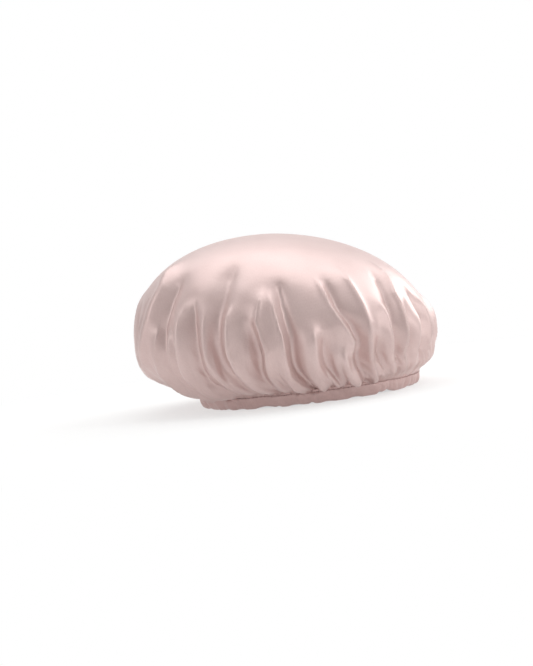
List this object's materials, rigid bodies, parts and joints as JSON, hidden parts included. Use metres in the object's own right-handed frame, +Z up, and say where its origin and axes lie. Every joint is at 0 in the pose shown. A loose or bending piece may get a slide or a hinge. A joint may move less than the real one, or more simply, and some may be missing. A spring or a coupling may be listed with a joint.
{
  "type": "silk bonnet",
  "caption": "Puffed satin sleep bonnet: a double dome of silk gathered into a narrow slanting elastic band that holds it round the head.",
  "frame": {"origin": "middle of the head opening, on the plane that the rim stands on", "axes": "+Z up through the crown, +X to the wearer's side at the right of the picture, -Y towards the viewer"},
  "size_m": [0.2198, 0.2201, 0.1203],
  "materials": {
    "crown_satin": "dusty pink silk satin, shiny face out, fine weave",
    "lining_satin": "dusty pink silk satin, shiny face in towards the hair",
    "casing_satin": "dusty pink silk satin, folded and puckered",
    "knitted_elastic": "off-white flat knitted elastic",
    "sewing_thread": "dusty pink spun polyester thread"
  },
  "bodies": {
    "root": {"outer_crown": "crown_satin", "lining_crown": "lining_satin", "band_casing": "casing_satin", "elastic_band": "knitted_elastic", "elastic_join_thread": "sewing_thread", "casing_join_thread": "sewing_thread", "gathering_thread": "sewing_thread", "seam_needle_thread": "sewing_thread", "seam_bobbin_thread": "sewing_thread"}
  },
  "joints": []
}
